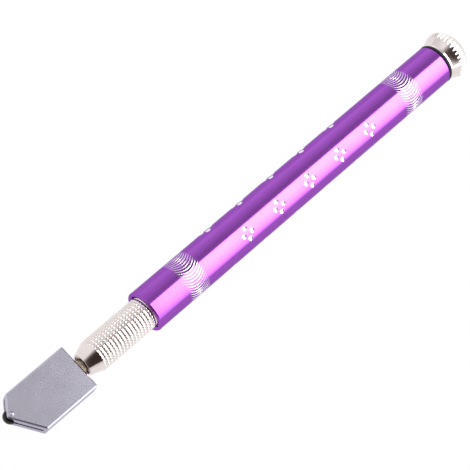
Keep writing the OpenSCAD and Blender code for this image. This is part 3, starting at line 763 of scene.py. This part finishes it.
def inset(outline, margin):
    """The outline drawn in by a margin, square to each of its edges."""
    drawn = []
    for before, here, after in zip(outline[-1:] + outline[:-1], outline, outline[1:] + outline[:1]):
        a = (Vector(here) - Vector(before)).normalized()
        b = (Vector(after) - Vector(here)).normalized()
        inward = Vector((-a.y - b.y, a.x + b.x)).normalized()
        drawn.append(tuple(Vector(here) + inward * margin / max(0.5, inward.dot(Vector((-a.y, a.x))))))
    return drawn


def slab(name, layers):
    """A solid through stacked outlines, each with its height."""
    work = bmesh.new()
    rings = [[work.verts.new((x, y, z)) for x, y in outline] for outline, z in layers]
    for low, high in zip(rings, rings[1:]):
        for k in range(len(low)):
            n = (k + 1) % len(low)
            work.faces.new((low[k], low[n], high[n], high[k]))
    work.faces.new(rings[0])
    work.faces.new(rings[-1])
    bmesh.ops.recalc_face_normals(work, faces=work.faces)
    for face in work.faces:
        face.smooth = True
    mesh = bpy.data.meshes.new(name)
    work.to_mesh(mesh)
    work.free()
    piece = bpy.data.objects.new(name, mesh)
    bpy.context.scene.collection.objects.link(piece)
    return piece


head_bevel = 0.35
head_block = slab("head_block_milled", [(inset(head_outline, head_bevel), -head_thick / 2),
    (head_outline, -head_thick / 2 + head_bevel), (head_outline, head_thick / 2 - head_bevel),
    (inset(head_outline, head_bevel), head_thick / 2)])
head_block.data.materials.append(satin_steel)
wheel_centre = Vector((-44.37, 1.9, 0))
head_tools = [
    cut_away(head_block, "stem_socket", (1.6, 16), (head_back, 0, 0), "Y"),
    cut_away(head_block, "oil_gallery", (0.8, 13), (-35.9, 0, 0), "Y"),
    cut_away(head_block, "wheel_pocket", (2.3, 1.26), wheel_centre, finish=recess_shade_cut),
    cut_away(head_block, "axle_hole", (0.6, 8), wheel_centre)]
saw_radius, saw_width = 20, 0.9
saw_first = near_corner + (tip_middle - near_corner).normalized()
saw_last = far_corner + (tip_middle - far_corner).normalized()
saw_chord = saw_first - saw_last
saw_back = Vector((saw_chord.y, -saw_chord.x)).normalized()
saw_middle = (saw_first + saw_last) / 2 - saw_back * math.sqrt(saw_radius ** 2 - (saw_chord.length / 2) ** 2)
head_tools.append(cut_away(head_block, "oil_saw", (saw_radius, saw_width), (saw_middle.x, saw_middle.y, 0),
    finish=recess_shade_cut))
cut_and_clear(head_block, head_tools)
soft_edges = head_block.modifiers.new("soft_edges", "BEVEL")
soft_edges.width, soft_edges.segments, soft_edges.angle_limit = 0.05, 2, math.radians(35)
flat_faces = head_block.modifiers.new("flat_faces", "WEIGHTED_NORMAL")
flat_faces.weight, flat_faces.mode = 100, "FACE_AREA"
baked(head_block, "head", "head_metal", "head_block", sharp=180)

# ---- Cutting wheel and axle ---------------------------------------------------------
# The wheel is sintered carbide, ground to a blunt edge that scores the glass. It spins
# on a hard steel pin pressed through both jaws, its ends ground nearly flush.
carbide = metal("ground_carbide", (0.07, 0.065, 0.065), 0.3, (0.05, 0.05), 0.001)
axle_steel = metal("axle_pin_steel", (0.46, 0.45, 0.52), 0.2, (0.08, 0.08), 0.001)
across = Matrix.Translation(wheel_centre) @ Matrix.Rotation(math.radians(-90), 4, "Y")
wheel_half, wheel_radius, wheel_bore = 0.55, 2.0, 0.63
wheel_bevel = wheel_half / math.tan(math.radians(70))
wheel = turned("cutting_wheel_ground", eased([(-wheel_half, wheel_bore),
    (-wheel_half, wheel_radius - wheel_bevel), (0, wheel_radius),
    (wheel_half, wheel_radius - wheel_bevel), (wheel_half, wheel_bore)], 0.02), 128)
wheel.data.transform(across)
wheel.data.materials.append(carbide)
baked(wheel, "wheel", "carbide", "cutting_wheel", sharp=20)

axle = turned("wheel_axle_pin", eased([(-2.52, 0), (-2.55, 0.3), (-2.5, 0.6), (2.5, 0.6), (2.55, 0.3),
    (2.52, 0)], 0.07), 48)
axle.data.transform(across)
axle.data.materials.append(axle_steel)
baked(axle, "head", "axle_steel", "wheel_axle")

# ---- Cap ring -----------------------------------------------------------------------
# A black rubber ring that the cap squeezes against the tube's end to keep the oil in.
ring_start, ring_end = steps_of("cap_seal")
cap_ring = turned("cap_seal_ring", eased([(ring_start, 4.98), (ring_start, 5.75), (ring_start + 0.13, 5.98),
    ((ring_start + ring_end) / 2, 6.05), (ring_end - 0.13, 5.98), (ring_end, 5.75), (ring_end, 4.98)], 0.1), 192)
cap_ring.data.materials.append(nitrile)
baked(cap_ring, "cap_ring", "seal_rubber", "cap_seal")

# ---- End cap ------------------------------------------------------------------------
# Nickel-plated brass like the ferrule: a threaded stud, a plain collar, a flare with
# rounded teeth for the fingers, and a low polished dome.
dome_start, dome_radius, cap_end, tooth_crest = 121.3, 6.45, 124.8, 7.05
dome_height = cap_end - dome_start
dome_ball = (dome_radius ** 2 + dome_height ** 2) / (2 * dome_height)
dome_sweep = math.asin(dome_radius / dome_ball)
cap_dome = [(cap_end - dome_ball * (1 - math.cos(a)), dome_ball * math.sin(a) if a > 0 else 0)
    for a in (dome_sweep * (1 - k / 20) for k in range(21))]
flare_rise = (tooth_crest - 5.9) / 2.9
cap_back = eased([(108, 4.9), (115.8, 4.9), (115.8, 5.9), (116.4, 5.9), (119.3, tooth_crest)], 0.1)[4:-4]
end_cap = turned("end_cap_toothed", [(108, 0)] + eased([(108, 0), (108, 4.9), (110, 4.9)], 0.2)[1:5]
    + rows_between(108.4, 114.9, 4.9, 52) + cap_back
    + [(117.7 + 0.1 * k, 5.9 + (1.3 + 0.1 * k) * flare_rise) for k in range(16)]
    + rows_between(119.3, 120.7, tooth_crest, 6)
    + [(120.7 + 0.1 * k, tooth_crest - 0.1 * k) for k in range(1, 6)] + cap_dome, 408)
set_sizes(end_cap, cut_pattern, start=118.1, end=121.35, run_out=0.01, crest_radius=tooth_crest,
    above_radius=6.3, ring_pitch=1.0, ring_twist=0.0, ring_depth=0.0, ring_floor=0.1, ring_slope=0.1,
    flute_count=34.0, flute_shift=0.5, flute_depth=0.36, flute_floor=0.03, flute_slope=0.3,
    finish=bright_nickel)
set_sizes(end_cap, cut_pattern, start=108.1, end=115.0, run_out=0.4, crest_radius=4.9, above_radius=4.4,
    ring_pitch=thread_pitch, ring_twist=1.0, ring_depth=0.3, ring_floor=0.06, ring_slope=0.4,
    flute_count=1.0, flute_shift=0.0, flute_depth=0.0, flute_floor=0.1, flute_slope=0.1, finish=bright_nickel)
baked(end_cap, "cap", "nickel_plate", "end_cap", sharp=60)
